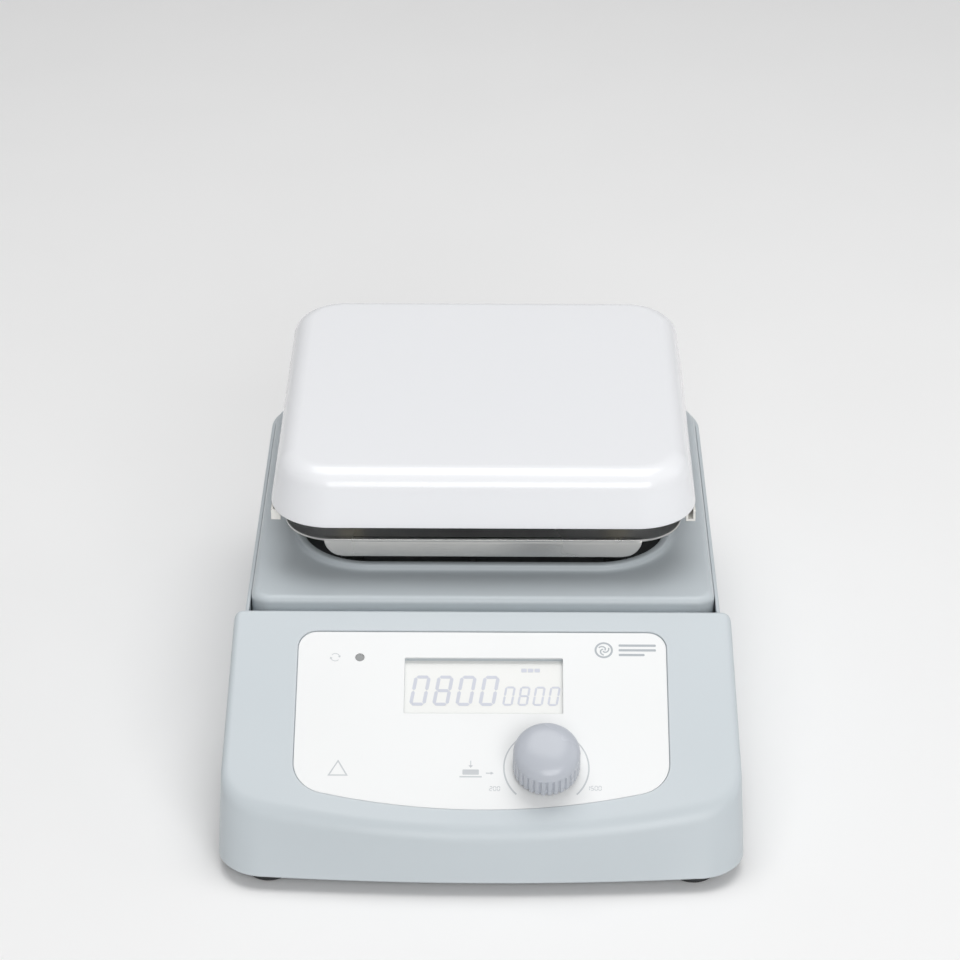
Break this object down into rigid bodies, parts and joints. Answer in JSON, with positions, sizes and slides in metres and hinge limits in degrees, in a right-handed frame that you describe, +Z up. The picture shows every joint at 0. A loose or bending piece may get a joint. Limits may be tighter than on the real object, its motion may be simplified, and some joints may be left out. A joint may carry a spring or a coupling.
{
  "type": "magnetic stirrer",
  "caption": "Low benchtop magnetic stirrer: square white work plate over a spinning magnet carrier, grey housing and a sloping console with a display and a speed knob.",
  "frame": {"origin": "centre of the bounding box's bottom face, on the bench under the rubber feet", "axes": "+X to the user's right, +Y to the back where the mains inlet is, +Z up through the work plate"},
  "size_m": [0.18, 0.253, 0.1088],
  "materials": {
    "enamel": "glossy white stove enamel",
    "ivory_plastic": "satin",
    "stainless": "brushed, bright cut edge",
    "spacer": "plain, heat resistant",
    "steel_parts": "zinc plated",
    "dark_steel": "black oxide",
    "cover_grey": "light grey satin",
    "casing_grey": "light grey satin",
    "console_grey": "light grey satin",
    "base_grey": "fine texture",
    "label_film": "printed film",
    "window": "clear, backed by the display",
    "lcd": "grey display glass",
    "white_plastic": "satin",
    "led": "smoked, unlit",
    "circuit_board": "solder mask",
    "chip": "moulded",
    "encoder_housing": "moulded",
    "brass": "turned",
    "nylon": "moulded",
    "knob_grey": "blue-grey satin",
    "chassis_steel": "powder coated",
    "motor_steel": "drawn can",
    "copper": "enamelled windings on laminations",
    "rubber_black": "matt",
    "foot_rubber": "matt",
    "magnet_dark": "sintered",
    "yoke_aluminium": "turned",
    "aluminium": "extruded",
    "transformer_yellow": "taped",
    "capacitor_blue": "sleeved",
    "ribbon_grey": "flat cable",
    "lead_dark": "insulation",
    "lead_brown": "insulation",
    "inlet_black": "moulded",
    "fuse_glass": "clear with metal caps",
    "rocker_black": "moulded",
    "rating_film": "blank plate"
  },
  "bodies": {
    "root": {"work_plate": "enamel", "rim_clip_left": "ivory_plastic", "rim_clip_right": "ivory_plastic", "heat_shield": "stainless", "plate_spacers": "spacer", "plate_posts": "steel_parts", "plate_screws": "dark_steel", "top_cover": "cover_grey", "rear_casing": "casing_grey", "front_console": "console_grey", "base_pan": "base_grey", "front_label": "label_film", "lcd_window": "window", "lcd_module": "lcd", "lcd_frame": "white_plastic", "stir_led": "led", "control_board": "circuit_board", "control_chips": "chip", "control_board_screws": "steel_parts", "encoder_body": "encoder_housing", "encoder_nut": "brass", "chassis_plate": "chassis_steel", "chassis_screws": "steel_parts", "motor_can": "motor_steel", "motor_stator": "copper", "motor_grommets": "rubber_black", "motor_screws": "steel_parts", "bearing_upper": "steel_parts", "bearing_lower": "steel_parts", "power_board": "circuit_board", "power_transformer": "transformer_yellow", "power_capacitors": "capacitor_blue", "power_heatsink": "aluminium", "power_board_screws": "steel_parts", "ribbon_cable": "ribbon_grey", "motor_lead": "lead_dark", "mains_leads": "lead_brown", "inlet_body": "inlet_black", "inlet_pins": "steel_parts", "inlet_screws": "steel_parts", "switch_frame": "inlet_black", "switch_tabs": "steel_parts", "rod_bush": "brass", "cover_screws": "steel_parts", "base_screws": "steel_parts", "foot_front_left": "foot_rubber", "foot_front_right": "foot_rubber", "foot_rear_left": "foot_rubber", "foot_rear_right": "foot_rubber", "rating_plate": "rating_film"},
    "drive": {"motor_rotor": "magnet_dark", "motor_shaft": "steel_parts", "magnet_yoke": "yoke_aluminium", "drive_magnets": "magnet_dark"},
    "encoder": {"encoder_rotor": "nylon"},
    "knob": {"encoder_shaft": "steel_parts", "knob": "knob_grey"},
    "rocker": {"switch_rocker": "rocker_black"},
    "fuse_drawer": {"fuse_drawer": "inlet_black", "fuse": "fuse_glass"}
  },
  "joints": [
    {"name": "drive_spin", "type": "hinge", "parent": "root", "child": "drive", "pos_m": [0, 0.0465, 0.08], "axis": [0, 0, 1], "continuous": true},
    {"name": "speed_turn", "type": "hinge", "parent": "root", "child": "encoder", "pos_m": [0.0222, -0.09979, 0.03463], "axis": [0, -0.4741, 0.8805], "range_deg": [-135, 135]},
    {"name": "knob_push", "type": "slide", "parent": "encoder", "child": "knob", "axis": [0, 0.4741, -0.8805], "range_m": [0, 0.0012], "stiffness_N_per_m": 800, "springref_m": -0.001},
    {"name": "rocker_tilt", "type": "hinge", "parent": "root", "child": "rocker", "pos_m": [-0.008, 0.121, 0.033], "axis": [1, 0, 0], "range_deg": [-20, 0]},
    {"name": "fuse_drawer_slide", "type": "slide", "parent": "root", "child": "fuse_drawer", "axis": [0, 1, 0], "range_m": [0, 0.016]}
  ]
}
